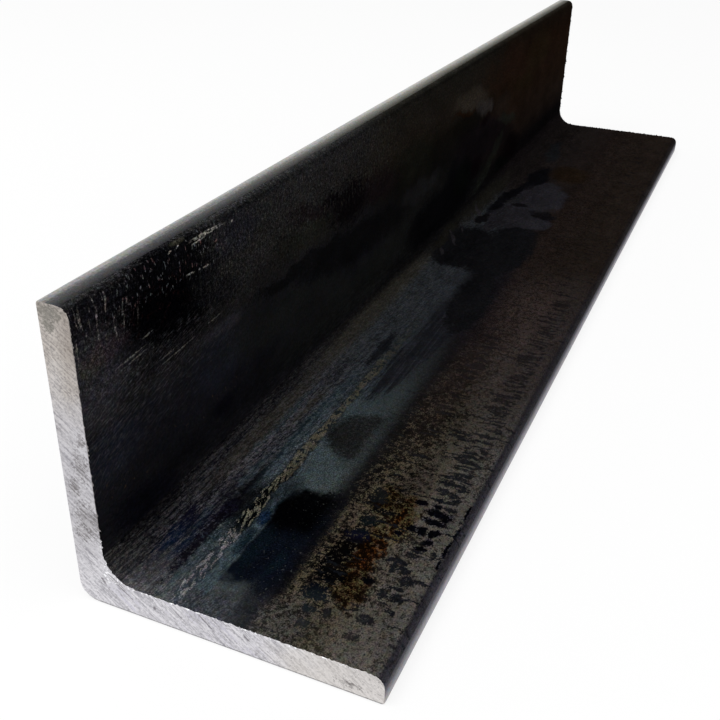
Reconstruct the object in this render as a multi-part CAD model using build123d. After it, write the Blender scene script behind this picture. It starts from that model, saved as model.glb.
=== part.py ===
from build123d import *
import os

# Steel angle: an offcut of hot-rolled equal-leg section, sawn square across at both ends.
# It lies on one leg, and the other leg stands up from the heel. Millimetres.
# +X runs across the lying leg from heel to toe, +Y along the bar, +Z up. The origin is on
# the underside, at the middle of the bar's box.

# Driving dimensions
leg = 50.0  # outside width of each leg, from heel to toe
thickness = 5.0  # of both legs
root_radius = 5.5  # fillet that the rolls leave in the inside corner
toe_radius = 2.0  # rounded inner edge of each toe; its outer edge is rolled square
heel_radius = 3.0  # soft outside corner
length = 285.0  # between the sawn ends


def corners_at(sketch, *points):
    """The sketch's corners that lie at the given places."""
    return [sketch.vertices().sort_by_distance(Vector(x, y))[0] for x, y in points]


def rolled_section():
    """The outline that the rolls give the bar, with its heel at the sketch's origin."""
    heel = (0, 0)
    root = (thickness, thickness)
    lying_toe = (leg, thickness)
    upright_toe = (thickness, leg)
    with BuildSketch(Plane.XZ) as section:
        with BuildLine():
            Polyline(heel, (leg, 0), lying_toe, root, upright_toe, (0, leg), close=True)
        make_face()
        fillet(corners_at(section, root), root_radius)
        fillet(corners_at(section, lying_toe, upright_toe), toe_radius)
        fillet(corners_at(section, heel), heel_radius)
    return section.sketch


def angle_bar():
    """The section rolled out to length, with half of the bar on each side of the origin."""
    bar = extrude(rolled_section(), length / 2, both=True)
    return Pos(-leg / 2, 0, 0) * bar


os.makedirs("parts", exist_ok=True)
export_step(angle_bar(), "parts/angle_bar.step")
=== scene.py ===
"""A short length of hot-rolled steel angle, sawn off at both ends, on a pale floor."""

import math

import bmesh
import bpy
from mathutils import Color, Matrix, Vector, noise


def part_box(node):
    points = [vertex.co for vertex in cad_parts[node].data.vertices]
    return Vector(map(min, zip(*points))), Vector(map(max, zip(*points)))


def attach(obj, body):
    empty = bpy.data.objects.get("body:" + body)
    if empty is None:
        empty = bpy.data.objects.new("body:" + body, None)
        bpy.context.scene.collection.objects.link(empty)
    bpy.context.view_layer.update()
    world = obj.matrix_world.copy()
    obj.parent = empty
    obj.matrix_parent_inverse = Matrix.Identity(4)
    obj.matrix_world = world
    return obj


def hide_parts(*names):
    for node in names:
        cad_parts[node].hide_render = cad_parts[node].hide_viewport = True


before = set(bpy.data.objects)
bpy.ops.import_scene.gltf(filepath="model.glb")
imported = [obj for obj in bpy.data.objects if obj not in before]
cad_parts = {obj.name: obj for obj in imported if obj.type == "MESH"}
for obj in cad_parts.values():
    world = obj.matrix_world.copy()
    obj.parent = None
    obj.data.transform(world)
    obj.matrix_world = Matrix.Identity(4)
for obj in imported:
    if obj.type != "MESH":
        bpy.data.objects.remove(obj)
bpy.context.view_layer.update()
low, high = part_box("angle_bar")


# The rolled bar. One piece of equal-leg angle in mild steel: the rolls leave a fillet in the
# inside corner, rounded inner edges on both toes and a soft heel. It lies on one leg.

leg = high.x - low.x
wall = 0.005
root_radius = 0.0055
toe_radius = 0.002
heel_radius = 0.003
toe_corner = 0.0004  # the rolls' square outer corners, barely eased
inner_pitch = 0.00075
outer_pitch = 0.00125
length_pitch = 0.0011
sawn_strip = 0.0006  # next to each cut the mesh is five times finer, for the burr
lying_skin, upright_skin, outer_skin, bare_steel = range(4)  # the materials, as they are made

bm = bmesh.new()
outline = [(0, 0), (leg, 0), (leg, wall), (wall, wall), (wall, leg), (0, leg)]
corner_cuts = [
    (heel_radius, 5), (toe_corner, 2), (toe_radius, 5), (root_radius, 9), (toe_radius, 5),
    (toe_corner, 2),
]
corners = [bm.verts.new((low.x + x, low.y + sawn_strip, low.z + z)) for x, z in outline]
bm.faces.new(corners)
for corner, (radius, segments) in zip(corners, corner_cuts):
    bmesh.ops.bevel(
        bm, geom=[corner], offset=radius, offset_type="OFFSET", segments=segments,
        profile=0.5, affect="VERTICES", material=-1,
    )
bmesh.ops.delete(bm, geom=bm.faces[:], context="FACES_ONLY")
for edge in bm.edges[:]:
    inner = all(min(end.co.x - low.x, end.co.z - low.z) > wall * 0.9 for end in edge.verts)
    cuts = round(edge.calc_length() / (inner_pitch if inner else outer_pitch)) - 1
    if cuts > 0:
        bmesh.ops.subdivide_edges(bm, edges=[edge], cuts=cuts)


def rolled_out(edges, steps):
    """Draw a ring of edges out along the bar, one step after another."""
    for step in steps:
        grown = bmesh.ops.extrude_edge_only(bm, edges=edges)["geom"]
        moved = [part for part in grown if isinstance(part, bmesh.types.BMVert)]
        bmesh.ops.translate(bm, verts=moved, vec=(0, step, 0))
        edges = [part for part in grown if isinstance(part, bmesh.types.BMEdge)]
    return edges


straight_run = high.y - low.y - 2 * sawn_strip
runs = round(straight_run / length_pitch)
rolled_out(bm.edges[:], [straight_run / runs] * runs)
rims = [edge for edge in bm.edges if edge.is_boundary]
bmesh.ops.subdivide_edges(bm, edges=rims, cuts=4)
rims = [edge for edge in bm.edges if edge.is_boundary]
strip_steps = [0.00028, 0.00016, 0.0001, 0.00006]
front_rim = rolled_out([e for e in rims if e.verts[0].co.y < 0], [-step for step in strip_steps])
back_rim = rolled_out([e for e in rims if e.verts[0].co.y > 0], strip_steps)

# Both cuts are sawn across. The blade's marks run slantwise over the face as shallow ridges.
blade_slant = math.radians(-38)
blade_pitch = 0.00055
blade_marks = 71  # enough of them to cross the whole section
cut_normal = Vector((-math.sin(blade_slant), 0, math.cos(blade_slant)))
for rim in (front_rim, back_rim):
    caps = bmesh.ops.holes_fill(bm, edges=rim, sides=0)["faces"]
    bmesh.ops.inset_region(bm, faces=caps, thickness=0.00018, depth=0, use_even_offset=True)
    end_y = rim[0].verts[0].co.y
    cap_parts = [*caps, *{e for face in caps for e in face.edges}]
    cap_parts += {v for face in caps for v in face.verts}
    for mark in range(1, blade_marks + 1):
        start = Vector((low.x, end_y, low.z)) + cut_normal * (mark * blade_pitch)
        cut = bmesh.ops.bisect_plane(
            bm, geom=cap_parts, dist=1e-7, plane_co=start, plane_no=cut_normal,
        )
        cap_parts = cut["geom"]
for face in bm.faces:
    ends = [vert.co.y for vert in face.verts]
    middle = face.calc_center_median() - low
    depth = min(middle.x, middle.z)
    cut_face = max(ends) - min(ends) < 1e-6
    at_rim = high.y - max(abs(y) for y in ends) < 1e-5 and depth > 0.004
    if cut_face or at_rim and noise.noise(
            Vector((middle.x - middle.z, ends[0], 0)) * 900) > -0.05:
        face.material_index = bare_steel
    elif depth < 0.0038:
        face.material_index = outer_skin
    elif middle.z - middle.x > 0.0045:
        face.material_index = upright_skin
    else:
        face.material_index = lying_skin
bmesh.ops.recalc_face_normals(bm, faces=bm.faces[:])

# Relief: the rolls and the scale leave the skin faintly uneven, always inwards of the true
# size. The saw throws a ragged burr up along the inner edges and eases the outer ones. Each
# whisker of it has its place, in millimetres across less up, and its reach.
whiskers = [
    (-24.0, 0.00034), (-23.3, 0.0002), (-17.6, 0.00026), (-12.1, 0.0003), (-7.4, 0.0003),
    (4.6, 0.0002), (12.5, 0.0002), (19.0, 0.00018), (27.5, 0.00022), (33.0, 0.0002),
]
bm.normal_update()
shifts = []
for vert in bm.verts:
    x, y, z = vert.co.x - low.x, vert.co.y, vert.co.z - low.z
    around = (x - z) * 1000
    from_cut = high.y - abs(y)
    spot = Vector((around, y * 1000, min(x, z) * 1000))
    flat = Vector((0.0, -math.copysign(1, y), 0.0))
    if all(face.material_index == bare_steel for face in vert.link_faces):
        travel = (vert.co - low).dot(cut_normal) * 1000
        ridge = noise.noise(Vector((travel * 1.9, y * 50, 0.3))) + 0.5 * noise.noise(
            Vector((travel * 0.35, y * 50, 4.1)))
        shifts.append((vert, flat * (0.00002 + 0.00002 * ridge)))
        continue
    skin = Vector((vert.normal.x, 0, vert.normal.z)).normalized()
    wave = noise.noise(spot * 0.045) + 0.6 * noise.noise(spot * 0.16) + 0.25 * noise.noise(spot)
    dent = 0.00003 + 0.00002 * wave
    inside = min(max((min(x, z) - 0.0035) / 0.0012, 0), 1)
    if from_cut < sawn_strip:
        near = 1 - from_cut / sawn_strip
        fine = noise.noise(Vector((around * 2.6, y, 7.7)))
        clump = noise.noise(Vector((around * 0.22, y, 2.2)))
        tufts = 0.0008 * max(0, fine - 0.25) * max(0, clump + 0.35)
        burr = max(0, 0.00007 + 0.00016 * fine + tufts)
        for whisker, reach in whiskers:
            burr += reach * math.exp(-((around - whisker) / 0.16) ** 2)
        ease = 0.00022 if z < 0.001 else 0.00009
        dent = dent * (1 - near) - burr * inside * near ** 4 + ease * (1 - inside) * near ** 2
    shifts.append((vert, -skin * dent))
for vert, shift in shifts:
    vert.co += shift
    vert.co.y = min(max(vert.co.y, low.y), high.y)

# The operators leave the faces in an order that changes from run to run, so they are sorted.
bm.verts.index_update()
corner_count = len(bm.verts)


def by_corners(face):
    """A number from the face's three lowest corners, to sort it by."""
    first, second, third = sorted(corner.index for corner in face.verts)[:3]
    return (first * corner_count + second) * corner_count + third


bm.faces.sort(key=by_corners)
bar_mesh = bpy.data.meshes.new("angle_bar_dressed")
bm.to_mesh(bar_mesh)
bm.free()
bar_mesh.shade_smooth()
bar_mesh.set_sharp_from_angle(angle=math.radians(35))
bar = bpy.data.objects.new("angle_bar_dressed", bar_mesh)
bpy.context.scene.collection.objects.link(bar)
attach(bar, "root")
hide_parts("angle_bar")


# Mill scale, the skin of oxide that hot rolling leaves: blue-grey and black in soft patches,
# drawn out along the bar, with tan rust speckling through it towards the lying leg's toe.

class Wire:
    """A socket in a material. Sums written on wires add the Math nodes that do them."""

    def __init__(self, tree, socket):
        self.tree = tree
        self.socket = socket

    def node(self, kind, settings=None, sockets=None, output=0):
        """Any other node: its settings are set first, then its sockets' values or links."""
        made = self.tree.nodes.new(kind)
        for name, value in (settings or {}).items():
            if name == "stops":
                for number, (stop, colour) in enumerate(value):
                    stops = made.color_ramp.elements
                    element = stops[number] if number < 2 else stops.new(stop)
                    element.position = stop
                    element.color = colour
            else:
                setattr(made, name, value)
        for name, value in (sockets or {}).items():
            if isinstance(value, Wire):
                self.tree.links.new(value.socket, made.inputs[name])
            else:
                made.inputs[name].default_value = value
        return Wire(self.tree, made.outputs[output])

    def math(self, operation, *values):
        return self.node("ShaderNodeMath", {"operation": operation}, dict(enumerate(values)))

    def __add__(self, other):
        return self.math("ADD", self, other)

    def __sub__(self, other):
        return self.math("SUBTRACT", self, other)

    def __rsub__(self, other):
        return self.math("SUBTRACT", other, self)

    def __mul__(self, other):
        return self.math("MULTIPLY", self, other)

    def __truediv__(self, other):
        return self.math("DIVIDE", self, other)

    def __abs__(self):
        return self.math("ABSOLUTE", self)

    __radd__ = __add__
    __rmul__ = __mul__


def shade(red, green, blue):
    """A colour as the eye sees it, 0 to 255, as the value a socket takes."""
    seen = Color((red / 255, green / 255, blue / 255))
    return (*seen.from_srgb_to_scene_linear(), 1)


def soft_step(value, start, end):
    """0 before start and 1 past end, with a smooth run between. It falls if end < start."""
    return value.node(
        "ShaderNodeMapRange", {"interpolation_type": "SMOOTHSTEP"},
        {"Value": value, "From Min": start, "From Max": end},
    )


def laid_over(under, over, mask):
    """One finish laid over another where the mask is 1."""
    return mask.node(
        "ShaderNodeMix", {"data_type": "RGBA"}, {0: mask, 6: under, 7: over}, output=2,
    )


def drawn(spot, along, around, depth):
    """The pattern's place, with so many repeats to a millimetre each way."""
    return spot.node(
        "ShaderNodeVectorMath", {"operation": "MULTIPLY"}, {0: spot, 1: (along, around, depth)})


def grain(spot, scale, detail=2.0, roughness=0.5, distortion=0.0, colour=False):
    """Random grain, from 0 to 1 about 0.5."""
    return spot.node(
        "ShaderNodeTexNoise", {},
        {"Vector": spot, "Scale": scale, "Detail": detail, "Roughness": roughness,
         "Distortion": distortion},
        output=1 if colour else 0,
    )


def swing(pattern, reach):
    """A pattern about 0 instead of 0.5, made so many times larger."""
    return pattern.math("MULTIPLY_ADD", pattern, reach, -0.5 * reach)


def shaken(spot, scale, reach):
    """Places shifted at random by up to about reach millimetres, for ragged outlines."""
    push = grain(spot, scale, 3.0, 0.6, colour=True)
    centred = push.node("ShaderNodeVectorMath", {"operation": "SUBTRACT"}, {0: push, 1: (0.5,) * 3})
    return spot.node(
        "ShaderNodeVectorMath", {"operation": "MULTIPLY_ADD"},
        {0: centred, 1: (reach * 3.0, reach * 2.2, 0), 2: spot},
    )


def seen_at(value, *stops):
    """Colours that follow on from one another along a value in millimetres."""
    return value.node(
        "ShaderNodeValToRGB",
        {"stops": [((stop + 10) / 70, shade(*colour)) for stop, *colour in stops]},
        {0: (value + 10) / 70},
    )


def patches(spot, fray, soft, *ovals):
    """Patches with soft, frayed rims, from their middles, half sizes and turns in degrees."""
    nearest = None
    for along, out, half_along, half_out, turn in ovals:
        lean, lift = math.cos(math.radians(turn)), math.sin(math.radians(turn))
        axes = [
            (lean, lift, -(lean * along + lift * out), half_along),
            (-lift, lean, lift * along - lean * out, half_out),
        ]
        far, wide = (
            spot.node("ShaderNodeVectorMath", {"operation": "DOT_PRODUCT"},
                      {0: spot, 1: [part / half for part in axis]}, output="Value")
            for *axis, half in axes
        )
        rim = far.math("MULTIPLY_ADD", wide, wide, far * far)
        nearest = rim if nearest is None else rim.math("MINIMUM", nearest, rim)
    return soft_step(nearest + fray, 1 + soft, 1 - soft)


def between(value, start, rise, end, fall):
    """1 from start to end, with soft runs of the given widths about both limits."""
    return soft_step(value, start - rise / 2, start + rise / 2) * soft_step(
        value, end + fall / 2, end - fall / 2)


def broken(mask, fray, soft=0.2):
    """A soft mask broken up by grain into specks and holes."""
    return soft_step(mask + fray, 0.5 - soft, 0.5 + soft)


def places(tree):
    """The bar's own coordinates, then across, along and up from its front heel in millimetres."""
    place = Wire(tree, None).node("ShaderNodeTexCoord", output="Object")
    parts = place.node("ShaderNodeSeparateXYZ", sockets={0: place}).socket.node.outputs
    return place, *((Wire(tree, part) - start) * 1000 for part, start in zip(parts, low))


class Skin:
    """A material for scaled skin, with its places, read as a flat sheet in millimetres."""

    def __init__(self, name, side=1):
        self.material = bpy.data.materials.new(name)
        self.material.use_nodes = True
        self.tree = self.material.node_tree
        self.shader = self.tree.nodes["Principled BSDF"]
        # along from the front cut, out along the leg from the other leg's back, and deep.
        _, across, self.along, rise = places(self.tree)
        self.depth = across.math("MINIMUM", across, rise)
        self.out = (across - rise) * side + 5
        self.sheet = self.along.node(
            "ShaderNodeCombineXYZ", sockets={0: self.along, 1: self.out, 2: self.depth})
        self.flat = self.along.node(
            "ShaderNodeCombineXYZ", sockets={0: self.along, 1: self.out, 2: 1.0})

    def finished(self, tone, light, roughness, height):
        """Join up the shader. The light is in halvings or doublings of the tone's own."""
        blush = grain(self.sheet, 1.1, 3.0, 0.7, colour=True)
        blush = blush.node("ShaderNodeVectorMath", {"operation": "MULTIPLY_ADD"}, {
            0: blush, 1: (0.8, 0.4, 0.9), 2: (0.6, 0.8, 0.55)})
        blush = blush.node("ShaderNodeVectorMath", {"operation": "SCALE"}, {
            0: blush, "Scale": light.math("POWER", 2.0, light)})
        lifted = tone.node(
            "ShaderNodeMix", {"data_type": "RGBA", "blend_type": "MULTIPLY"},
            {0: 1.0, 6: tone, 7: blush}, output=2)
        self.tree.links.new(lifted.socket, self.shader.inputs["Base Color"])
        self.tree.links.new(roughness.socket, self.shader.inputs["Roughness"])
        self.shader.inputs["Specular IOR Level"].default_value = 0.0
        bumped = height.node(
            "ShaderNodeBump", {}, {"Strength": 0.6, "Distance": 0.00006, "Height": height})
        self.tree.links.new(bumped.socket, self.shader.inputs["Normal"])
        bar_mesh.materials.append(self.material)


# The lying leg's inner face and the root. Rust has come through the scale as tan grain over
# near-black ground towards the toe; next to the root the scale is blue-grey and streaked.

lying = Skin("lying_leg_scale")
along, out, sheet, flat = lying.along, lying.out, lying.sheet, lying.flat
broad = grain(drawn(sheet, 0.022, 0.06, 0.3), 1.0, 3.0, 0.55, 0.4)
mottle = grain(drawn(sheet, 0.16, 0.3, 0.3), 1.0, 4.0, 0.6)
streak = grain(drawn(sheet, 0.05, 1.3, 0.6), 1.0, 3.0, 0.6)
slanted = along.node("ShaderNodeCombineXYZ", sockets={
    0: along, 1: along.math("MULTIPLY_ADD", along, -0.13, out), 2: lying.depth})
fine_streak = grain(drawn(slanted, 0.6, 2.8, 0.9), 1.0, 4.0, 0.8)
speck = grain(sheet, 1.7, 3.0, 0.62)
dust = grain(sheet, 4.0, 2.0, 0.6)
ragged = shaken(shaken(flat, 0.22, 1.0), 1.3, 0.4)
wander = along + swing(mottle, 30.0) + swing(broad, 40.0)
midway = soft_step(wander, 30, 98)
far_off = soft_step(wander + soft_step(out, 24, 30) * 60, 165, 215)

# The ground, and what lies lit on it in grains and streaks.
# Every ramp turns paler past 49.4, on the toe's rounded inner edge: the start of the toe's painted
# sheen.
ground = seen_at(
    out, (0, 10, 9, 13), (8, 19, 20, 28), (12, 20, 23, 30), (14.5, 37, 43, 48),
    (17.7, 58, 67, 72), (25, 53, 60, 61), (28.5, 20, 20, 21), (31, 12, 11, 11),
    (36, 12, 10, 8), (43, 30, 27, 25), (48.6, 32, 29, 28), (49.2, 16, 15, 20),
    (51, 46, 45, 50))
ground = laid_over(ground, seen_at(
    out, (0, 18, 17, 18), (3, 31, 30, 29), (8, 38, 39, 42), (18, 32, 34, 39), (19.5, 18, 18, 21),
    (28, 17, 15, 18), (31, 18, 14, 15), (36, 24, 20, 18), (48.5, 25, 21, 21), (49.4, 24, 22, 25),
    (51, 44, 43, 46)), midway)
ground = laid_over(ground, seen_at(
    out, (0, 13, 11, 13), (8, 19, 17, 17), (20, 22, 18, 18), (30, 22, 17, 15),
    (40, 20, 16, 14), (48.5, 20, 16, 15), (49.4, 20, 17, 17), (51, 40, 38, 38)), far_off)
lit = seen_at(
    out, (0, 40, 39, 39), (4, 58, 57, 59), (8, 82, 80, 84), (12, 78, 80, 85),
    (17.7, 80, 91, 96), (20, 74, 86, 89), (25, 70, 79, 80), (28, 56, 54, 49),
    (30.5, 82, 74, 60), (36, 76, 70, 57), (43, 76, 72, 66), (48.8, 76, 73, 69),
    (49.4, 34, 33, 38), (51, 58, 56, 61))
lit = laid_over(lit, seen_at(
    out, (0, 27, 26, 27), (3, 45, 44, 42), (8, 54, 58, 61), (18, 48, 51, 55), (19.5, 34, 35, 38),
    (28, 30, 28, 31), (31, 42, 35, 34), (36, 52, 46, 43), (48.5, 47, 42, 41), (49.4, 34, 32, 35),
    (51, 52, 51, 54)), midway)
lit = laid_over(lit, seen_at(
    out, (0, 24, 20, 21), (8, 31, 27, 26), (20, 36, 31, 29), (30, 36, 29, 26),
    (40, 33, 27, 23), (48.5, 33, 27, 23), (49.4, 28, 24, 24), (51, 46, 44, 44)), far_off)

# Rust inside the grain: orange, yellow and reddish by turns.
patchy = grain(sheet, 0.6, 3.0, 0.65)
red_rust = patches(
    ragged, swing(patchy, 7.0), 0.8,
    (21.5, 38.2, 5.2, 1.5, 4), (21.5, 36.6, 4.0, 0.8, 0), (31, 39.2, 3.4, 0.6, 0))
yellow_rust = patches(
    ragged, swing(patchy, 4.0), 0.9, (14.5, 38.6, 4.6, 2.6, -8), (22, 37.4, 9, 2.2, 0),
    (32, 39.6, 6.5, 2.4, -5), (36, 35.5, 4, 2, 0))
pink_rust = patches(
    ragged, swing(speck, 2.0), 0.9, (41, 37.5, 6, 3.5, 0), (28, 32, 5, 1, 0),
    (75, 34, 22, 3, 0), (115, 38, 20, 6, 0))
lit = laid_over(lit, shade(60, 48, 46), pink_rust * 0.4)
lit = laid_over(lit, shade(68, 67, 66), soft_step(along, 13, 4) * soft_step(out, 39, 33) * 0.8)
hue = grain(sheet, 1.5, 3.0, 0.7)
ochre = laid_over(shade(66, 40, 18), shade(78, 70, 38), soft_step(hue, 0.44, 0.54))
lit = laid_over(lit, ochre, yellow_rust * 0.8)
orange = laid_over(shade(46, 17, 6), shade(102, 56, 14), soft_step(hue, 0.42, 0.6))
lit = laid_over(lit, orange, red_rust * 0.88)
ground = laid_over(ground, shade(13, 6, 2), yellow_rust * 0.9)

# How far the lit grain covers the ground: little next to the dark patches, most at the toe.
cover = soft_step(out, 24.5, 31) * 0.2 + soft_step(out, 37, 43) * 0.07 - 0.21
cover -= yellow_rust * 0.05 + red_rust * 0.04
cover += swing(patchy, 0.4) - between(along, 50, 16, 104, 30) * between(out, 28, 2, 36, 5) * 0.08
cover -= between(along, 44, 6, 62, 10) * between(out, 45.5, 1.5, 49, 1) * 0.05
cover -= between(along, 33, 4, 54, 16) * between(out, 24.5, 2, 32, 4) * 0.07
cover -= between(along, 10, 6, 32, 6) * between(out, 40.5, 2, 44.5, 3) * 0.06
cover -= between(along, 11, 4, 27, 4) * between(out, 31.5, 2, 36, 3) * 0.06
bars = patches(
    ragged, swing(dust, 1.0), 0.5, (5.6, 34.8, 0.45, 3, 4), (8.1, 34.8, 0.5, 3, 8),
    (13.5, 34.4, 0.5, 3.2, 8), (17.4, 34.6, 0.4, 1.8, -8), (27.6, 35, 0.5, 3, -6),
    (31.7, 35, 0.4, 3.4, -5), (34.0, 34.6, 0.5, 3.4, -5))
row_ground = patches(
    ragged, swing(speck, 5.0) + swing(dust, 2.0), 0.6, (4.2, 35.4, 1.1, 1.2, 0),
    (7.4, 35.2, 1.2, 1.3, 0), (10.8, 34.3, 2.4, 2.0, 0), (16.0, 34.6, 2.2, 2.2, 0),
    (20.5, 33.8, 4.0, 1.8, 4),
    (25.6, 34.6, 1.7, 1.8, 0), (29.6, 34.8, 1.6, 1.6, 0), (32.8, 36.2, 0.7, 2.6, 0),
    (36.0, 33.8, 2.2, 1.4, 0))
row_ground = row_ground * (1 - bars * 0.8)
row_tone = seen_at(
    along, (0, 26, 28, 29), (7.5, 19, 26, 31), (10, 18, 23, 27), (13, 8, 10, 17), (14.5, 4, 4, 5),
    (23.5, 5, 4, 4), (25.5, 12, 13, 27), (27.5, 9, 16, 18), (31, 14, 19, 20), (33, 7, 8, 8),
    (36, 20, 22, 22), (42, 28, 27, 26))
ground = laid_over(ground, row_tone, row_ground)
cover -= row_ground * 0.13
dashes = patches(
    ragged, swing(dust, 1.8) + swing(speck, 1.2), 0.6, (26.5, 45.0, 0.5, 1.2, 0),
    (28.6, 45.6, 1.1, 0.9, 15), (31.0, 45.7, 1.0, 0.9, 0), (31.0, 43.6, 1.0, 0.9, 0),
    (31.0, 42.2, 0.8, 0.6, 0), (33.8, 44.8, 0.8, 2.0, 8), (36.0, 44.8, 0.9, 2.2, 0),
    (34.9, 45.9, 0.7, 0.6, 0), (37.7, 43.9, 0.6, 0.8, 0), (39.4, 43.5, 0.6, 0.6, 0),
    (16.3, 40.3, 0.8, 0.8, 0), (28.6, 40.6, 0.6, 0.7, 0), (37.4, 41.0, 0.7, 1.0, 0),
    (28.0, 49.0, 2.0, 0.36, 3), (32.4, 49.2, 1.7, 0.4, 0), (38.2, 49.0, 1.8, 0.34, 0),
    (24.5, 48.6, 1.2, 0.3, 0))
ground = laid_over(ground, shade(4, 4, 7), dashes)
lit = laid_over(lit, shade(34, 34, 66), dashes * between(along, 23, 4, 39, 4) * 0.8)
cover -= dashes * 0.25
comb = grain(drawn(ragged, 0.95, 0.13, 1), 1.0, 2.0, 0.5)
toothed = between(out + swing(patchy, 4.0), 42.2, 1.5, 46.9, 1.2) * between(along, 38, 10, 128, 30)
teeth = broken(toothed * 0.52, swing(comb, 3.6), 0.14)
teeth = teeth.math("MAXIMUM", teeth, broken(
    between(out, 33.2, 2, 36.5, 2) * between(along, 82, 8, 102, 8) * 0.5, swing(comb, 3.6), 0.14))
soft_dashes = patches(
    ragged, swing(dust, 1.4) + swing(speck, 1.4), 0.7,
    (4.8, 42.5, 0.9, 1.1, 0), (8.8, 42.9, 0.9, 1.2, 0), (7.5, 37.7, 0.8, 0.6, 0),
    (18.9, 45.6, 1.2, 1.0, 0), (14.6, 43.4, 1.2, 0.8, 0), (20.8, 44.2, 0.7, 1.4, 0),
    (16.6, 44.9, 0.5, 1.2, 0), (24.6, 44.4, 0.6, 1.0, 0), (11.9, 45.6, 0.8, 0.8, 0),
    (14.8, 46.0, 0.7, 1.2, 0), (22.4, 43.2, 0.7, 1.2, 0), (20.8, 42.6, 1.6, 0.4, 0),
    (26.0, 47.2, 1.2, 0.5, 0),
    (37.8, 46.0, 0.6, 1.0, 0), (40.4, 46.0, 0.8, 0.7, 0), (42.0, 43.8, 0.8, 1.6, 0),
    (44.1, 43.0, 0.8, 1.6, 0), (58.9, 41.0, 0.8, 2.5, 0), (60.6, 40.4, 0.6, 2.2, 0))
teeth = teeth.math("MAXIMUM", teeth, soft_dashes) * 0.8
ground = laid_over(ground, laid_over(shade(19, 21, 25), shade(16, 15, 18), midway), teeth)
cover -= teeth * 0.24

gritty = speck * 0.62 + dust * 0.38
covered = soft_step(gritty + cover, 0.40, 0.59)
streaked = soft_step(streak * 0.28 + fine_streak * 0.44 + gritty * 0.28, 0.43, 0.59)
rooted = soft_step(out, 21, 14)
covered = covered.math("MULTIPLY_ADD", rooted, streaked - covered, covered)
covered = covered.math("MULTIPLY_ADD", soft_step(out, 28.5, 24.0) * (1 - rooted), 0.45, covered)
faint = midway.math("MAXIMUM", midway, soft_step(along, 13, 1) * 0.9)
covered = covered + (0.56 - covered) * faint * 0.36
tone = laid_over(ground, lit, covered)

# Dark and pale patches in the smooth scale between the root and the grain.
slope = grain(flat, 0.35, 2.0)
beside = along + swing(slope, 3.0)
beyond = out + swing(slope, 1.6)
tone = laid_over(tone, shade(9, 9, 13), broken(
    between(along, 7, 5, 34, 5) * between(out, 25.5, 2.5, 30.0, 3), swing(speck, 3.2)) * 0.9)
scuffed = laid_over(
    shade(30, 32, 39), shade(64, 66, 71), soft_step(gritty * 0.5 + fine_streak * 0.5, 0.42, 0.6))
tone = laid_over(
    tone, scuffed, between(beside, -4, 1, 5, 5) * between(beyond, 17.5, 3, 25.5, 3) * 0.8)
tone = laid_over(tone, shade(24, 25, 31), between(
    beside, -4, 1, 9, 5) * between(beyond, 25, 1.5, 28.5, 2) * 0.6)
tone = laid_over(tone, laid_over(shade(34, 44, 52), shade(68, 80, 86), soft_step(
    fine_streak, 0.36, 0.58)), broken(
    between(along, 4, 5, 33, 6) * between(out, 17.4, 0.8, 20.1, 0.6), swing(dust, 1.0)) * 0.8)
tone = laid_over(tone, laid_over(shade(1, 8, 20), shade(5, 34, 66), gritty), patches(
    ragged, swing(speck, 3.0), 0.9, (23.2, 18.7, 1.9, 0.9, -6), (22.2, 19.4, 1.0, 0.5, 0)) * 0.9)
tone = laid_over(tone, shade(5, 22, 26), patches(
    ragged, swing(speck, 3.0), 0.9, (17.2, 19.4, 1.2, 0.5, 0), (27.5, 19.3, 3.4, 0.4, 0),
    (15.4, 14.6, 1.4, 0.5, 0), (20.5, 15.0, 1.6, 0.4, 0)) * 0.7)
tone = laid_over(tone, shade(14, 26, 34), broken(
    between(along, 13, 3, 20, 2) * between(out, 18.2, 1.6, 19.8, 0.5),
    swing(speck, 1.4), 0.3) * 0.8)
rim = swing(patchy, 0.7) + swing(speck, 0.24)
tone = laid_over(tone, shade(9, 13, 21), broken(
    between(beside, 7.5, 7, 28, 3) * between(beyond, 20.0, 1.4, 28.5, 5), rim, 0.5))
tone = laid_over(tone, shade(9, 24, 29), patches(
    ragged, swing(speck, 6.0), 0.9, (16, 21.3, 5, 1.6, 0),
    (14, 26, 3, 0.8, 0)) * soft_step(out, 19.8, 20.8) * 0.35)
cornered = along.math("MULTIPLY_ADD", out, -0.8, beside)
tone = laid_over(tone, shade(2, 2, 3), broken(
    between(beside, 21.4, 6, 33.2, 5.0) * between(beyond, 19.7, 1.4, 28.0, 4.6)
    * soft_step(cornered, 18.0, 13.6), rim, 0.5))
stars = soft_step(grain(flat, 2.4, 2.0) + swing(patchy, 0.3), 0.67, 0.74) * between(
    along, 4, 6, 37, 8) * between(out, 22, 8, 30, 2)
tone = laid_over(tone, shade(66, 67, 67), stars * 0.5)
disc = patches(ragged, swing(speck, 0.5), 0.35, (51.6, 25.2, 7.8, 7.8, 0))
disc_tone = laid_over(shade(27, 28, 28), shade(33, 34, 34), soft_step(speck, 0.4, 0.6))
tone = laid_over(tone, disc_tone, disc * soft_step(beyond, 27.0, 24.6) * 0.95)
tone = laid_over(tone, shade(21, 21, 21), patches(
    ragged, swing(speck, 0.8), 0.8, (50.0, 21.2, 4.6, 3.4, 0)) * 0.7)
tongue = patches(
    ragged, swing(fine_streak, 1.6) + swing(streak, 2.0), 0.3,
    (96, 21.6, 31, 2.9, 3.5), (90, 23.8, 22, 1.3, 5))
tone = laid_over(tone, laid_over(shade(24, 25, 29), shade(35, 36, 40), soft_step(
    streak, 0.46, 0.62)), tongue * 0.95)
fray = swing(speck, 1.4) + swing(dust, 0.8)
combed = fray + swing(fine_streak, 5.0)
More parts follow.
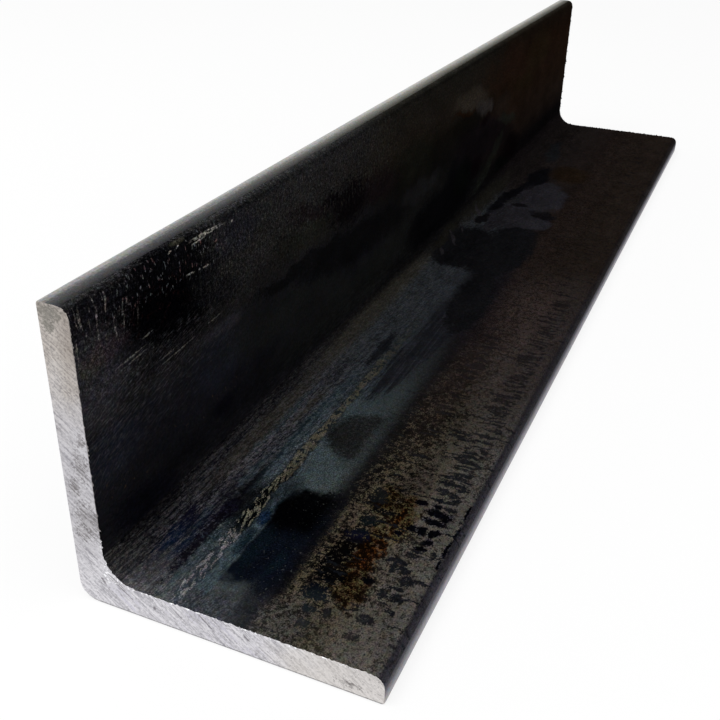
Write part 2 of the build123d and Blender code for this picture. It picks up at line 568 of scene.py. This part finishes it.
root_patches = [
    (shade(9, 9, 11), fray, 0.9, 0.95, [(25.6, 13.8, 6.4, 2.9, 0), (31, 12.8, 5, 0.8, 0)]),
    (shade(16, 19, 22), fray, 0.9, 0.55, [(21.0, 16.4, 4.2, 2.4, 0)]),
    (shade(22, 26, 30), fray, 0.9, 0.75, [(29, 17.6, 7.0, 1.5, 4), (32, 19.4, 3.2, 2.0, 10)]),
    (shade(14, 13, 19), combed, 0.9, 0.7, [(24, 7.4, 6, 1.4, 0)]),
    (shade(16, 17, 20), fray, 0.6, 0.85, [(85, 14.2, 8, 1.3, 0)]),
    (shade(7, 7, 8), fray, 0.9, 0.65, [(150, 0.6, 52, 4.0, 0)]),
    (shade(14, 14, 20), combed, 0.9, 0.35, [(16, 9.0, 6, 3.0, 0)]),
    (shade(6, 22, 44), combed, 0.9, 0.75, [(13, 8.4, 5.5, 1.4, 0), (12, 11.0, 4, 0.8, 0)]),
    (shade(30, 48, 66), combed, 0.9, 0.4, [(19, 10.2, 3, 0.8, 0), (15.5, 12.6, 3.0, 0.5, 0)]),
    (shade(15, 13, 30), combed, 0.9, 0.65, [
        (17.6, 8.0, 2.6, 1.6, 0), (18.5, 11.6, 4, 1.0, 0), (21.6, 12.4, 3, 1.4, 0)]),
    (shade(10, 8, 15), swing(speck, 9.0), 0.5, 0.9, [
        (15, 12.8, 9, 0.9, 0), (44, 12.9, 18, 0.35, 0)]),
    (shade(24, 22, 32), combed, 0.9, 0.5, [(11, 12.6, 6, 1.4, 0), (27, 10.2, 6, 1.4, 0)]),
    (shade(72, 71, 75), combed, 0.9, 0.35, [(3.0, 10.0, 6, 1.9, 0)]),
    (shade(48, 62, 68), fray, 0.8, 0.45, [
        (11, 14.3, 8, 0.8, 0), (36, 14.0, 5, 1.0, 0), (52, 13.4, 20, 1.2, 0),
        (50, 8, 12, 0.8, 0), (34, 11.2, 5, 0.8, 0)]),
    (shade(49, 46, 39), fray, 0.9, 0.6, [
        (57, 10.6, 7, 0.9, 0), (46, 6.0, 20, 2.0, 0), (100, 5.0, 36, 2.4, 0)]),
    (shade(10, 9, 13), combed, 0.9, 0.7, [(13, 0.6, 9, 2.4, 0)]),
]
for finish, edge, soft, strength, shapes in root_patches:
    tone = laid_over(tone, finish, patches(ragged, edge, soft, *shapes) * strength)
torn = shaken(ragged, 0.13, 2.6)
torn_patches = [
    (shade(16, 16, 18), 0.3, [(148, 12, 15, 11, 0), (150, 22, 20, 8, 0), (116, 24, 18, 4.4, -4)]),
    (shade(27, 26, 22), 0.9, [(186, 5.0, 24, 2.4, 0), (150, 4.0, 12, 1.6, 0)]),
    (shade(37, 35, 38), 0.5, [
        (149.5, 7.6, 3.4, 0.8, -52), (141, 7.0, 2, 0.7, -30), (159, 7.0, 2.6, 0.6, -44),
        (168, 8.0, 3.6, 0.7, -46), (175, 6.0, 3.2, 0.6, -40)]),
    (shade(34, 33, 37), 0.3, [
        (178, 17, 12, 7.5, 8), (174, 24, 5, 5, 60), (198, 21, 14, 7.0, -8), (167, 14, 5, 2, 0)]),
    (shade(15, 14, 16), 0.5, [
        (181, 25.5, 4, 3.4, -50), (187, 17, 1.8, 2.2, 0), (170, 10, 5, 1.6, 0)]),
    (shade(11, 11, 14), 0.5, [(192, 11.5, 16, 2.2, 8), (214, 15, 12, 3.2, 0)]),
    (shade(27, 20, 14), 0.7, [(223, 24, 9, 6.2, -10)]),
    (shade(24, 25, 27), 0.7, [(246, 12.5, 12, 2.2, -6)]),
]
clear = soft_step(out, 3, 9) * 0.15 + 0.83
for finish, soft, shapes in torn_patches:
    tone = laid_over(tone, finish, patches(torn, swing(speck, 0.8), soft, *shapes) * clear)

# Flakes of scale standing in a line where the root's curve ends, slanting a little.
fallen = along.node("ShaderNodeCombineXYZ", sockets={
    0: along * 0.5, 1: along.math("MULTIPLY_ADD", along, 0.2, out) * 1.6, 2: 0.0})
flake = grain(fallen, 1.0, 3.0, 0.6, 0.4)
flake_line = between(out + swing(mottle, 3.2) + swing(patchy, 2.0), 15.5, 1.0, 17.6, 0.8)
flake_line *= soft_step(along, 150, 90)
gaps = laid_over(shade(4, 6, 8), shade(34, 38, 40), soft_step(along, 30, 50))
tone = laid_over(tone, shade(34, 38, 46), flake_line * between(along, 0, 4, 18, 6) * soft_step(
    flake, 0.58, 0.48) * 0.6)
tone = laid_over(tone, gaps, flake_line * between(along, 18, 6, 100, 40) * soft_step(
    flake, 0.61, 0.53))
flakes = laid_over(shade(112, 109, 112), shade(104, 101, 88), soft_step(along, 15, 21))
flakes = laid_over(flakes, shade(90, 87, 74), soft_step(along, 30, 50))
flakes = laid_over(flakes, shade(70, 68, 60), midway)
tone = laid_over(tone, flakes, soft_step(
    flake + flake_line * 0.16 + swing(dust, 0.3), 0.66, 0.74) * flake_line * between(
        along, 0.5, 13, 45, 34) * 0.9)
chips = grain(drawn(ragged, 0.85, 0.6, 1), 1.0, 2.0, 0.5) + swing(flake, 0.7) + swing(dust, 0.3)
chips = soft_step(chips, 0.43, 0.50) * between(
    out + swing(mottle, 2.4) + swing(dust, 1.2), 15.8, 0.5, 17.4, 0.5)
chip_tone = laid_over(
    shade(84, 80, 68), shade(54, 53, 48), soft_step(along + swing(patchy, 60), 48, 92))
tone = laid_over(tone, chip_tone, chips * between(along, 34, 14, 92, 36) * 0.85)

smooth = between(out, 13, 3, 28, 3) * between(along, 12, 8, 62, 24)
light = swing(dust, 3.0) * (1 + smooth * 1.1) + swing(mottle, 1.8) + swing(speck, 2.4)
light += swing(fine_streak, 3.6) * rooted
light += soft_step(along, 12, 3) * rooted * soft_step(out, 5, 9) * 0.3
light += soft_step(along, 5, 0) * 0.4
light -= between(along, 34, 14, 72, 20) * between(out, 36, 4, 42, 4) * 0.4
roughness = 0.62 + swing(mottle, 0.3)
height = dust * 0.4 + speck * 0.6
lying.finished(tone, light, roughness, height)


# The upright leg's inner face. Its scale is darker and smoother, black and scratched in the
# front corner, with violet and blue-black shadows in it further back and brown at the far end.

upright = Skin("upright_leg_scale", -1)
along, out, sheet, flat = upright.along, upright.out, upright.sheet, upright.flat
broad = grain(drawn(sheet, 0.022, 0.06, 0.3), 1.0, 3.0, 0.55, 0.4)
mottle = grain(drawn(sheet, 0.12, 0.2, 0.3), 1.0, 4.0, 0.6)
speck = grain(sheet, 1.8, 3.0, 0.62)
dust = grain(sheet, 4.5, 2.0, 0.6)
ragged = shaken(shaken(flat, 0.22, 1.0), 1.3, 0.4)
wander = along + swing(mottle, 40.0) + swing(broad, 60.0)
# Every ramp turns paler past 49.4, on the toe's rounded inner edge: the start of the toe's painted
# sheen.
tone = seen_at(
    out, (8, 28, 27, 31), (10.5, 22, 22, 25), (13.5, 17, 17, 20), (17, 19, 19, 22),
    (20, 19, 19, 23), (27, 22, 22, 26), (34, 26, 25, 25), (43, 30, 29, 29), (48, 31, 30, 31),
    (49.4, 20, 20, 21), (51, 47, 47, 48))
tone = laid_over(tone, seen_at(
    out, (8, 17, 17, 18), (12, 20, 20, 21), (20, 21, 21, 21), (28, 16, 15, 14),
    (35, 17, 15, 12), (40, 29, 25, 21), (48.4, 26, 24, 21), (49.4, 17, 16, 14),
    (51, 36, 35, 31)), soft_step(wander, 78, 115))
tone = laid_over(tone, seen_at(
    out, (8, 13, 11, 12), (13, 15, 13, 14), (20, 31, 24, 20), (30, 31, 22, 16),
    (42, 29, 19, 13), (49.4, 22, 17, 13), (51, 36, 33, 28)), soft_step(wander, 170, 205))

fray = swing(speck, 1.2) + swing(dust, 0.8)
torn = shaken(ragged, 0.13, 2.6)
clawed = shaken(flat, 0.6, 3.0)
upright_patches = [
    (shade(6, 6, 8), ragged, 0.6, 1.0, [(21, 45.5, 13.5, 6.5, 0)]),
    (shade(9, 9, 13), ragged, 0.9, 0.8, [(4, 47, 8, 3.0, 0), (12, 38, 8, 2.4, 0)]),
    (shade(9, 9, 11), ragged, 0.9, 0.4, [(8.5, 39, 3.6, 9, 0)]),
    (shade(2, 2, 3), flat, 0.7, 1.0, [(21, 41.5, 10.5, 3.6, -2), (23.5, 37.8, 9, 3.2, -8)]),
    (shade(11, 11, 14), ragged, 0.9, 0.75, [
        (35, 37.6, 7, 2.6, -12), (22, 33.6, 9, 2, 0), (32.5, 42.4, 5, 2.4, 0)]),
    (shade(40, 39, 44), ragged, 0.9, 0.7, [(2, 37, 8, 6.5, 0), (36, 30.6, 6, 1.2, 0)]),
    (shade(25, 27, 35), ragged, 0.9, 0.7, [(6, 25, 6, 4, 0), (34, 25, 7, 4.5, 0)]),
    (shade(10, 10, 16), ragged, 0.9, 0.9, [(12, 11.5, 8, 3.6, -10), (35, 16, 4, 1.6, 0)]),
    (shade(26, 26, 22), torn, 0.9, 0.7, [(66, 36.4, 12, 3.0, -8)]),
    (shade(21, 21, 17), torn, 0.9, 0.7, [(124, 34, 14, 5, -4)]),
    (shade(21, 21, 28), ragged, 0.9, 0.6, [(42, 45.4, 6, 3.6, 0)]),
    (shade(25, 26, 25), torn, 0.9, 0.75, [(62, 23, 26, 4.4, -6), (88, 15, 34, 5, 0)]),
    (shade(12, 12, 13), torn, 0.6, 0.9, [(90, 26.4, 27, 4.0, -6), (66, 29.8, 20, 1.7, -2)]),
    (shade(18, 13, 15), torn, 0.9, 0.7, [(103, 35, 13, 3.4, -4), (70, 39.8, 10, 1.4, -14)]),
    (shade(7, 5, 7), clawed, 0.9, 0.95, [(87, 36, 9.5, 4.6, -4), (79, 39.2, 5, 1.2, -10)]),
    (shade(27, 27, 28), torn, 0.8, 0.8, [(131, 25.5, 13, 2.4, -2)]),
    (shade(9, 9, 11), torn, 0.4, 1.0, [(148, 15, 26, 6.5, 0), (166, 21, 16, 7, 0)]),
    (shade(47, 42, 36), torn, 0.8, 0.75, [(168, 39.5, 15, 3.0, -8)]),
    (shade(33, 27, 23), torn, 0.9, 0.6, [(200, 31, 9, 3, 0)]),
    (shade(28, 17, 9), torn, 0.8, 0.8, [(162, 36.8, 9, 0.7, -8)]),
    (shade(17, 14, 16), torn, 0.6, 0.9, [(185, 24, 30, 6, -8)]),
    (shade(50, 47, 46), torn, 0.9, 0.6, [(180, 35.0, 8, 2.2, -10), (186, 33.6, 2.4, 2.0, 0)]),
    (shade(11, 5, 8), torn, 0.8, 0.7, [(182, 30.3, 4, 1.4, 0), (177, 18.5, 5, 3, 0)]),
    (shade(29, 31, 27), torn, 0.8, 0.7, [
        (188, 14.5, 14, 2.0, 22), (197, 19, 7, 1.8, 30), (207, 25.6, 10, 1.5, -8)]),
    (shade(8, 10, 9), torn, 0.7, 0.9, [(205, 12, 9, 2.8, -6), (164, 19, 8, 5, 0)]),
    (shade(10, 6, 8), torn, 0.7, 0.9, [(214, 14.5, 10, 4.2, -6)]),
    (shade(34, 23, 18), torn, 0.9, 0.4, [
        (208, 43, 14, 5, 0), (195, 38, 6, 2, 0), (255, 34, 8, 3, 0)]),
    (shade(29, 25, 14), torn, 0.9, 0.4, [(240, 40, 14, 6, 0), (226, 33, 12, 3, -4)]),
]
for finish, outline_of, soft, strength, shapes in upright_patches:
    tone = laid_over(tone, finish, patches(outline_of, fray, soft, *shapes) * strength)

# Bare scratches and strokes: curved ones across the front edge, short dots behind them, and a
# few long ones drawn along the bar.
curled = shaken(flat, 0.08, 1.6)
strokes = grain(drawn(curled, 1.8, 0.2, 1), 1.0, 2.0, 0.5)
strokes = soft_step(strokes + swing(speck, 0.25), 0.57, 0.68)
strokes *= between(out, 41, 5, 50, 2) * between(along, -5, 1, 13, 6)
tone = laid_over(tone, shade(80, 76, 74), strokes * 0.7)
dots = soft_step(grain(drawn(flat, 1.7, 0.66, 1), 1.0, 2.0, 0.5) + swing(speck, 0.14), 0.60, 0.68)
dots *= between(out, 43, 2, 50, 1) * between(along, 9, 4, 36, 4)
brushed = soft_step(grain(drawn(flat, 1.3, 0.5, 1), 1.0, 3.0, 0.7), 0.5, 0.68)
brushed *= between(along, 30, 16, 112, 20) * soft_step(out, 33, 40)
tone = laid_over(tone, shade(52, 52, 49), brushed * 0.4)
tinge = soft_step(grain(sheet, 0.5, 2.0, 0.6), 0.4, 0.5)
tone = laid_over(tone, laid_over(shade(82, 62, 62), shade(84, 86, 88), tinge), dots * 0.6)
scratches = patches(
    shaken(flat, 1.2, 0.24), swing(dust, 3.0), 0.9, (33.0, 48.4, 4.4, 0.17, -2),
    (31.6, 48.7, 2.6, 0.17, -2), (34.2, 48.7, 2.4, 0.12, -3), (30.6, 48.0, 1.8, 0.14, 2),
    (40.4, 47.8, 0.3, 0.16, 0),
    (27.8, 43.6, 1.0, 0.16, -6), (32.1, 43.2, 0.8, 0.16, -4), (30.2, 43.4, 0.3, 0.16, 0),
    (11.5, 37.2, 3.0, 0.14, 4), (12.5, 36.5, 2.6, 0.12, 5), (15.8, 38.8, 1.2, 0.14, 6),
    (23, 32.6, 4.2, 0.1, 3), (20.5, 33.4, 2.4, 0.09, 3), (33.5, 33.4, 2.2, 0.1, 2),
    (23.1, 49.0, 0.5, 0.15, 20), (25.2, 49.1, 0.5, 0.14, 20))
tone = laid_over(tone, shade(132, 129, 124), scratches * soft_step(speck, 0.38, 0.5) * (
    0.3 + 0.5 * soft_step(out, 40, 43)))
tone = laid_over(tone, shade(52, 51, 43), patches(
    ragged, fray, 0.9, (25.7, 50.2, 1.8, 0.6, 0), (3, 40, 3, 1.6, 0)) * 0.6)
reddish = soft_step(grain(flat, 0.9, 3.0, 0.7), 0.54, 0.68)
reddish *= between(along, 2, 6, 27, 6) * between(out, 39, 4, 46, 3)
tone = laid_over(tone, shade(32, 15, 15), reddish * 0.3)
tone = laid_over(tone, shade(44, 34, 40), patches(ragged, fray, 0.9, (6, 40.6, 5, 1.6, 0)) * 0.4)
hairs = along.node("ShaderNodeCombineXYZ", sockets={
    0: along.math("MULTIPLY_ADD", out, 0.35, along) * 0.5, 1: along.math(
        "MULTIPLY_ADD", along, -0.25, out) * 3.2, 2: 0.0})
hairs = soft_step(grain(hairs, 1.0, 3.0, 0.6), 0.5, 0.64)
tone = laid_over(tone, shade(78, 77, 80), hairs * between(along, -5, 1, 30, 50) * between(
    out, 24, 16, 37.5, 3) * 0.32)
cross_hairs = along.node("ShaderNodeCombineXYZ", sockets={
    0: along.math("MULTIPLY_ADD", out, 1.1, along) * 0.45, 1: along.math(
        "MULTIPLY_ADD", along, -0.9, out) * 2.6, 2: 0.0})
cross_hairs = soft_step(grain(cross_hairs, 1.0, 2.0, 0.6), 0.54, 0.68)
tone = laid_over(tone, shade(70, 69, 73), cross_hairs * between(along, -5, 1, 9, 10) * between(
    out, 20, 10, 41, 5) * 0.32)
flecks = soft_step(grain(flat, 1.1, 2.0), 0.66, 0.74) * between(out, 16.5, 2, 21, 3)
tone = laid_over(tone, shade(58, 48, 38), flecks * between(along, 0, 4, 45, 14) * 0.6)

nearness = soft_step(along, 130, 25)
footing = grain(drawn(sheet, 0.5, 2.4, 0.9), 1.0, 3.0, 0.65)
rough_part = soft_step(out, 27, 41) * (nearness * 0.65 + 0.4) + 0.44
light = (swing(dust, 4.4) + swing(speck, 4.4)) * rough_part + swing(mottle, 1.8)
light += swing(footing, 4.0) * soft_step(out, 19, 9)
roughness = 0.62 + swing(mottle, 0.3)
height = dust * 0.4 + speck * 0.6
upright.finished(tone, light, roughness, height)


# The outer faces. The backs of both legs and the heel carry even charcoal scale with rust in
# it; the toes are greyer and smoother, and carry a painted sheen that pales towards their outer
# edges.

outer = Skin("outer_scale")
along, out, sheet, flat = outer.along, outer.out, outer.sheet, outer.flat
broad = grain(drawn(sheet, 0.022, 0.06, 0.06), 1.0, 3.0, 0.55, 0.4)
mottle = grain(drawn(sheet, 0.12, 0.2, 0.2), 1.0, 4.0, 0.6)
streak = grain(drawn(sheet, 0.05, 0.9, 0.9), 1.0, 3.0, 0.6)
speck = grain(sheet, 1.8, 3.0, 0.62)
dust = grain(sheet, 4.5, 2.0, 0.6)
tone = laid_over(
    shade(30, 30, 33), shade(50, 54, 57), soft_step(broad + swing(streak, 0.5), 0.44, 0.6))
tone = laid_over(tone, shade(44, 34, 28), soft_step(
    mottle + swing(broad, 0.6) + swing(speck, 0.4), 0.5, 0.68) * 0.7)
edges = soft_step(abs(out - 5), 34, 46)
rusty = soft_step(speck * 0.62 + dust * 0.38 + swing(mottle, 0.4) + edges * 0.08, 0.5, 0.66)
tone = laid_over(tone, shade(74, 68, 58), rusty * (0.25 + edges * 0.6))
worn = soft_step(grain(drawn(flat, 0.05, 1.6, 1), 1.0, 3.0, 0.6) + swing(speck, 0.2), 0.62, 0.72)
tone = laid_over(tone, shade(92, 92, 96), worn * soft_step(mottle, 0.42, 0.6) * 0.5)
# Painted sheen: the toes grow paler with every millimetre from the inner face towards their
# outer edge; a painted highlight on the upright's top, a painted floor reflection on the lying
# toe's foot.
toes = soft_step(abs(out - 5) + outer.depth, 49.2, 49.7)
edgewise = outer.depth + swing(streak, 1.8) + swing(speck, 2.4)
upright_toe_sheen = laid_over(
    seen_at(edgewise, (0, 188, 188, 187), (1, 142, 142, 141), (2, 86, 86, 87), (4, 38, 38, 40)),
    seen_at(edgewise, (0, 206, 205, 202), (1, 172, 171, 166), (2, 126, 125, 119), (4, 40, 39, 34)),
    soft_step(along, 20, 130))
lying_toe_sheen = seen_at(
    edgewise, (0, 206, 204, 208), (1.5, 160, 158, 164), (2.8, 100, 99, 105), (4, 62, 61, 66))
# Both toes' painted sheen, laid over the scale.
painted_toe_sheen = laid_over(upright_toe_sheen, lying_toe_sheen, soft_step(out, 0, 10))
tone = laid_over(tone, painted_toe_sheen, toes)
calm = toes * soft_step(edgewise, 3.2, 0.8)
light = swing(dust, 2.6) + swing(speck, 2.4) + swing(streak, 1.6) + swing(mottle, 0.8)
light *= 1 - calm * 0.75
roughness = 0.6 + swing(mottle, 0.3) - toes * 0.1
height = dust * 0.4 + speck * 0.6
outer.finished(tone, light, roughness, height)


# The sawn ends. Bright bare steel, scored slantwise by the blade's teeth, pitted and dulled
# in places, lilac where the light leaves it and warmer towards the two toes.

sawn = bpy.data.materials.new("sawn_steel")
sawn.use_nodes = True
sawn_tree = sawn.node_tree
sawn_shader = sawn_tree.nodes["Principled BSDF"]
place, across, _, rise = places(sawn_tree)
flat = across.node("ShaderNodeCombineXYZ", sockets={0: across, 1: rise, 2: 1.0})
inwards = across.math("MINIMUM", across, rise)
end_face = place.node(
    "ShaderNodeMapping", {"vector_type": "TEXTURE"},
    {"Vector": place, "Location": tuple(low), "Rotation": (0, -blade_slant, 0),
     "Scale": (0.001,) * 3},
)
bowed = shaken(end_face, 0.06, 0.8)
marks = grain(drawn(bowed, 0.4, 0.01, 3.0), 1.0, 3.0, 0.65)
long_marks = grain(drawn(bowed, 0.09, 0.01, 1.3), 1.0, 3.0, 0.6)
grit = grain(end_face, 2.4, 3.0, 0.7)
cloud = grain(end_face, 0.16, 3.0, 0.55)
steel = laid_over(shade(146, 144, 152), shade(226, 224, 228), soft_step(
    marks * 0.4 + grit * 0.3 + long_marks * 0.3, 0.36, 0.58))
steel = laid_over(steel, shade(184, 181, 200), soft_step(long_marks + swing(cloud, 0.6), 0.5, 0.66)
                  * between(across, 6, 8, 31, 6) * 0.5)
steel = laid_over(steel, shade(214, 207, 196), soft_step(across + swing(cloud, 20), 30, 40) * 0.45)
steel = laid_over(steel, shade(132, 129, 133), soft_step(rise + swing(cloud, 20), 3, 14) * 0.28)
steel = laid_over(steel, laid_over(shade(138, 131, 123), shade(212, 203, 191), soft_step(
    marks * 0.5 + grit * 0.5, 0.38, 0.58)), soft_step(rise + swing(cloud, 20), 27, 43) * 0.62)
steel = laid_over(steel, shade(118, 106, 94), soft_step(rise + swing(cloud, 30), 34, 56) * 0.5)
steel = laid_over(steel, shade(120, 104, 90), soft_step(
    across + swing(cloud, 3.0), 1.4, 4.6) * soft_step(rise + swing(cloud, 16), 30, 45) * 0.24)
blurred = shaken(flat, 0.5, 1.0)
steel = laid_over(steel, shade(104, 103, 95), patches(
    blurred, swing(grit, 5.0), 0.9, (2.0, 48.6, 2.0, 1.1, 0), (1.6, 46.8, 0.9, 1.0, 0)) * 0.6)
smudges = patches(
    blurred, swing(grit, 9.0), 0.9, (3.4, 15.6, 1.9, 2.8, 20), (2.0, 13.0, 1.0, 1.4, 0),
    (4.2, 29.4, 0.7, 1.2, 0), (45, 1.6, 1.6, 0.5, 0), (1.8, 21, 1.0, 1.4, 0),
    (3.4, 25, 1.2, 2.2, 0))
steel = laid_over(steel, shade(104, 99, 98), smudges * (0.3 + 0.5 * soft_step(marks, 0.56, 0.42)))
pits = soft_step(grain(end_face, 2.2, 3.0, 0.62) + swing(cloud, 0.2), 0.60, 0.70)
gouges = soft_step(grain(drawn(end_face, 1.1, 0.01, 3.6), 1.0, 2.0, 0.5), 0.60, 0.72)
steel = laid_over(steel, shade(96, 91, 95), pits.math("MAXIMUM", pits, gouges) * 0.55)
scores = patches(
    flat, swing(grit, 3.0), 0.7, (7.7, 4.4, 2.3, 0.12, -37), (7.2, 5.3, 1.8, 0.09, -37),
    (4.6, 4.7, 0.7, 0.22, -58), (13.4, 2.9, 0.3, 0.3, 0), (28.8, 3.4, 0.7, 0.16, -42),
    (17.5, 3.2, 1.6, 0.1, -40), (22, 3.8, 1.8, 0.12, -42))
steel = laid_over(steel, shade(92, 87, 92), scores * 0.75)
# Painted highlights: white glints on the burr along the lying leg's inner edge and the root.
glints = soft_step(grain(flat, 1.9, 2.0), 0.56, 0.64) * soft_step(inwards, 4.6, 4.9)
glints *= soft_step(rise, 15, 10)
# Painted shade: the burr along the upright's inner edge is darkened so that it does not shine.
burr = soft_step(inwards, 4.92, 5.04) * soft_step(rise, 11, 15)
steel = laid_over(steel, shade(104, 99, 98), burr * 0.8)
steel = laid_over(steel, shade(252, 252, 255), glints * 0.9)
# Painted shadow: a thin dark line along the foot of the cut, where it meets the floor.
painted_contact_shadow = soft_step(rise + swing(grit, 0.3), 0.42, 0.2)
steel = laid_over(steel, shade(96, 95, 98), painted_contact_shadow * 0.9)
sawn_tree.links.new(steel.socket, sawn_shader.inputs["Base Color"])
sawn_shader.inputs["Metallic"].default_value = 0.6
sawn_tree.links.new(
    (0.4 + swing(marks, 0.4)).socket, sawn_shader.inputs["Roughness"])
bumped = marks.node("ShaderNodeBump", {}, {
    "Strength": 0.7, "Distance": 0.00008, "Height": marks * 0.7 + grit * 0.3})
sawn_tree.links.new(bumped.socket, sawn_shader.inputs["Normal"])
bar_mesh.materials.append(sawn)


# The studio. A pale floor under broad soft lamps, with the camera low over the sawn end.

def looked_at(tree):
    """1 for rays from the camera, straight, off a gloss or through glass, and 0 for the rest."""
    seen = Wire(tree, None).node("ShaderNodeLightPath")
    kinds = seen.socket.node.outputs
    for kind in ("Is Glossy Ray", "Is Transmission Ray"):
        seen = seen.math("MAXIMUM", seen, Wire(tree, kinds[kind]))
    return seen


floor_mesh = bpy.data.meshes.new("floor")
bm = bmesh.new()
bmesh.ops.create_grid(bm, x_segments=1, y_segments=1, size=3)
bm.to_mesh(floor_mesh)
bm.free()
floor = bpy.data.objects.new("floor", floor_mesh)
bpy.context.scene.collection.objects.link(floor)
paper = bpy.data.materials.new("paper")
paper.use_nodes = True
paper_tree = paper.node_tree
paper_shader = paper_tree.nodes["Principled BSDF"]
paper_shader.inputs["Base Color"].default_value = (1, 1, 1, 1)
paper_shader.inputs["Roughness"].default_value = 1.0
paper_shader.inputs["Specular IOR Level"].default_value = 0.0
seen = looked_at(paper_tree)
glow = seen.node("ShaderNodeEmission", {}, {"Color": (1, 1, 1, 1), "Strength": 1.0})
lit_paper = seen.node("ShaderNodeMixShader", {}, {
    0: seen * 0.8, 1: Wire(paper_tree, paper_shader.outputs[0]), 2: glow})
paper_tree.links.new(lit_paper.socket, paper_tree.nodes["Material Output"].inputs["Surface"])
floor_mesh.materials.append(paper)

world = bpy.data.worlds.new("studio")
world.use_nodes = True
world_tree = world.node_tree
seen = looked_at(world_tree)
sky_strength = 0.6
background = world_tree.nodes["Background"]
background.inputs["Color"].default_value = (1, 1, 1, 1)
world_tree.links.new(
    (sky_strength + seen * (1 - sky_strength)).socket, background.inputs["Strength"])
bpy.context.scene.world = world

lamp_data = bpy.data.lights.new("overhead", "AREA")
lamp_data.shape = "SQUARE"
lamp_data.size = 0.8
lamp_data.energy = 7.0
lamp = bpy.data.objects.new("overhead", lamp_data)
lamp.location = (-0.25, -0.55, 1.0)
lamp.rotation_euler = (Vector((0, 0, 0.02)) - lamp.location).to_track_quat("-Z", "Y").to_euler()
bpy.context.scene.collection.objects.link(lamp)

camera_data = bpy.data.cameras.new("camera")
camera_data.lens = 47.5
camera_data.clip_start = 0.01
camera = bpy.data.objects.new("camera", camera_data)
camera.location = (0.0559, -0.2262, 0.1031)
camera.rotation_euler = [math.radians(angle) for angle in (60.82, -1.19, 23.78)]
bpy.context.scene.collection.objects.link(camera)
bpy.context.scene.camera = camera
bpy.context.scene.view_settings.view_transform = "Standard"
